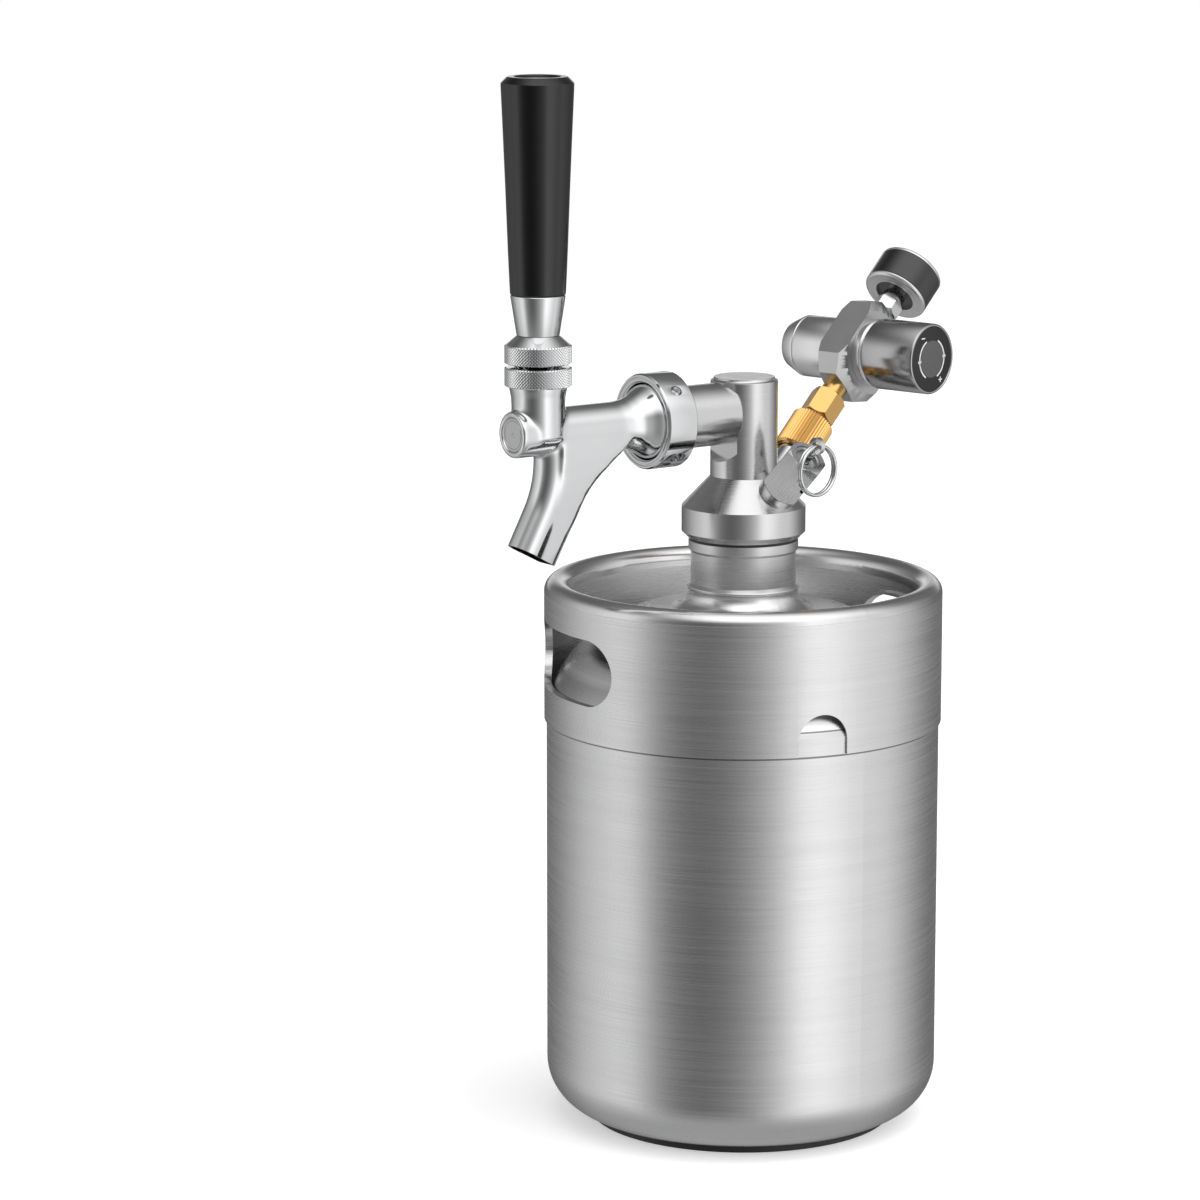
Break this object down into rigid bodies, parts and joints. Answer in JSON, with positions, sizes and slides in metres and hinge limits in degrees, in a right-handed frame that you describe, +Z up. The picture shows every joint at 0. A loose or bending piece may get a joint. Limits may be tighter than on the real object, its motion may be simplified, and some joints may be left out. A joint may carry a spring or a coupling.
{
  "type": "mini keg beer dispenser",
  "caption": "Small steel keg with a screw-on head that carries a chrome faucet with a black handle, a ring-pull relief valve and a gas regulator with gauge and knob.",
  "frame": {"origin": "on the ground, under the axis of the keg", "axes": "+Z up along the keg axis, -Y the way the faucet points, +X to the right seen from behind the faucet"},
  "size_m": [0.17, 0.2433, 0.4529],
  "materials": {
    "keg_steel": "fine lines brushed round the keg",
    "head_steel": "turned satin",
    "tube_steel": "drawn tube",
    "chrome": "polished plating",
    "steel_parts": "bright turned steel",
    "spring_steel": "drawn wire",
    "brass": "bright turned",
    "aluminium": "satin machined",
    "black_rubber": "moulded",
    "grey_seal": "moulded",
    "nylon": "turned washer",
    "black_handle": "polished",
    "black_paint": "gloss paint",
    "dial_white": "printed face",
    "label_grey": "printed disc",
    "needle_black": "matt paint",
    "lens": "clear"
  },
  "bodies": {
    "keg": {"keg_base": "keg_steel", "keg_body": "keg_steel", "rim_bead": "keg_steel", "keg_shoulder": "keg_steel", "keg_neck": "keg_steel", "neck_bead": "keg_steel", "foot_ring": "black_rubber", "top_skirt": "keg_steel"},
    "head": {"head_cap": "head_steel", "neck_gasket": "grey_seal", "riser_tower": "head_steel", "dip_tube": "tube_steel", "dip_tube_seal": "grey_seal", "shank_tube": "chrome", "shank_washer": "grey_seal", "faucet_body": "chrome", "faucet_plug": "chrome", "ball_washer": "nylon", "friction_washer": "nylon", "lever_bonnet": "chrome", "relief_body": "chrome", "relief_cap": "steel_parts", "relief_spring": "spring_steel", "gas_boss": "chrome", "swivel_washer": "grey_seal"},
    "regulator": {"outlet_adapter": "brass", "regulator_block": "aluminium", "cartridge_socket": "aluminium", "cartridge_seal": "grey_seal", "piercing_pin": "steel_parts", "bonnet_collar": "aluminium", "diaphragm": "grey_seal", "spring_plate": "steel_parts", "main_spring": "spring_steel", "gauge_stem": "chrome", "gauge_back_ring": "steel_parts", "gauge_case": "black_paint", "gauge_dial": "dial_white", "bourdon_tube": "brass", "gauge_movement": "brass", "gauge_lens": "lens", "gauge_bezel": "black_paint"},
    "handle": {"lever": "chrome", "lever_nut": "chrome", "handle_ferrule": "chrome", "handle_grip": "black_handle"},
    "valve": {"valve_shaft": "steel_parts", "shaft_seat": "grey_seal"},
    "coupling": {"coupling_ring": "chrome"},
    "relief_plunger": {"relief_pin": "steel_parts", "relief_seat": "grey_seal"},
    "ring": {"pull_ring": "chrome"},
    "swivel": {"swivel_nut": "brass"},
    "knob": {"adjust_knob": "chrome", "knob_label": "label_grey"},
    "screw": {"adjust_screw": "steel_parts"},
    "needle": {"gauge_needle": "needle_black"}
  },
  "joints": [
    {"name": "head_lift", "type": "slide", "parent": "keg", "child": "head", "axis": [0, 0, 1], "range_m": [0, 0.26]},
    {"name": "handle_tilt", "type": "hinge", "parent": "head", "child": "handle", "pos_m": [0, -0.1057, 0.325], "axis": [1, 0, 0], "range_deg": [0, 25]},
    {"name": "valve_slide", "type": "slide", "parent": "head", "child": "valve", "axis": [0, 1, 0], "range_m": [0, 0.0079]},
    {"name": "coupling_ring_turn", "type": "hinge", "parent": "head", "child": "coupling", "pos_m": [0, -0.0458, 0.3069], "axis": [0, -1, 0], "continuous": true},
    {"name": "relief_pull", "type": "slide", "parent": "head", "child": "relief_plunger", "axis": [0.7001, 0.0996, 0.7071], "range_m": [0, 0.003], "stiffness_N_per_m": 400, "springref_m": -0.004, "deforming": ["relief_spring"]},
    {"name": "ring_swing", "type": "hinge", "parent": "relief_plunger", "child": "ring", "pos_m": [0.04284, 0.0061, 0.29678], "axis": [0.1409, -0.99, 0], "range_deg": [-10, 120]},
    {"name": "swivel_nut_turn", "type": "hinge", "parent": "head", "child": "swivel", "pos_m": [-0.00993, 0.03953, 0.29093], "axis": [-0.1839, 0.732, 0.6561], "continuous": true},
    {"name": "regulator_turn", "type": "hinge", "parent": "head", "child": "regulator", "pos_m": [-0.01057, 0.04209, 0.29322], "axis": [-0.1839, 0.732, 0.6561], "continuous": true},
    {"name": "knob_turn", "type": "hinge", "parent": "regulator", "child": "knob", "pos_m": [0.00591, 0.08319, 0.32439], "axis": [-0.9699, -0.2436, 0], "range_deg": [0, 900]},
    {"name": "screw_feed", "type": "slide", "parent": "regulator", "child": "screw", "axis": [-0.9699, -0.2436, 0], "range_m": [0, 0.0032], "deforming": ["main_spring"]},
    {"name": "needle_turn", "type": "hinge", "parent": "regulator", "child": "needle", "pos_m": [-0.02758, 0.1098, 0.35391], "axis": [0.1839, -0.732, -0.6561], "range_deg": [0, 270], "stiffness_Nm_per_rad": 0.0001}
  ],
  "couplings": [
    {"joint": "valve_slide", "follows": "handle_tilt", "m_per_rad": 0.0177},
    {"joint": "screw_feed", "follows": "knob_turn", "m_per_rad": 0.00019894}
  ]
}
